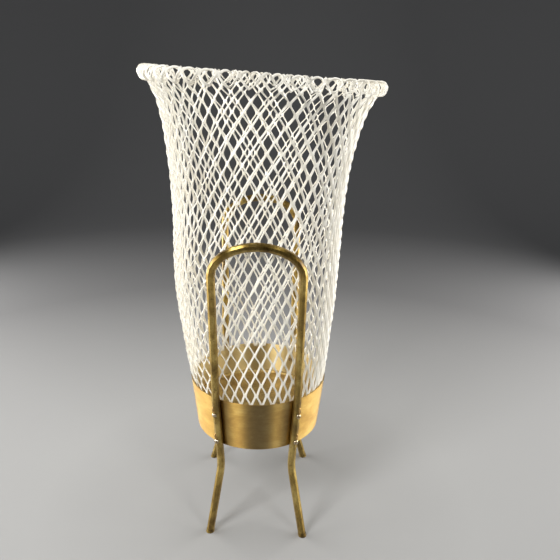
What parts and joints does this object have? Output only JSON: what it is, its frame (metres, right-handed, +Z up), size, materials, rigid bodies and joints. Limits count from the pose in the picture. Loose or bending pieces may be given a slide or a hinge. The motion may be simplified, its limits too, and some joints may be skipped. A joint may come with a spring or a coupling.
{
  "type": "umbrella stand",
  "caption": "Free-standing umbrella stand: flared white expanded-metal basket with a rolled rim, in a tapered brass band on hairpin tube legs, with a lift-out drip tray.",
  "frame": {"origin": "on the floor, under the middle of the basket", "axes": "+Z up; the front hairpin leg is at -Y and the rear one at +Y; +X to the right seen from the front"},
  "size_m": [0.2792, 0.2792, 0.5689],
  "materials": {
    "white_lacquer": "warm white gloss lacquer over expanded steel mesh",
    "polished_brass": "polished sheet brass with fine horizontal brushing and light patina",
    "dull_brass": "dull, water-spotted sheet brass",
    "tube_brass": "aged polished brass tube",
    "rivet_brass": "rivet heads with bright solder"
  },
  "bodies": {
    "stand": {"mesh_basket": "white_lacquer", "brass_band": "polished_brass", "front_hairpin_leg": "tube_brass", "front_left_foot_plug": "tube_brass", "front_left_upper_rivet": "rivet_brass", "front_left_lower_rivet": "rivet_brass", "front_right_foot_plug": "tube_brass", "front_right_upper_rivet": "rivet_brass", "front_right_lower_rivet": "rivet_brass", "rear_hairpin_leg": "tube_brass", "rear_left_foot_plug": "tube_brass", "rear_left_upper_rivet": "rivet_brass", "rear_left_lower_rivet": "rivet_brass", "rear_right_foot_plug": "tube_brass", "rear_right_upper_rivet": "rivet_brass", "rear_right_lower_rivet": "rivet_brass"},
    "drip_tray": {"drip_tray": "dull_brass"}
  },
  "joints": [
    {"name": "drip_tray_lift", "type": "slide", "parent": "stand", "child": "drip_tray", "axis": [0, 0, 1], "range_m": [0, 0.43]}
  ]
}
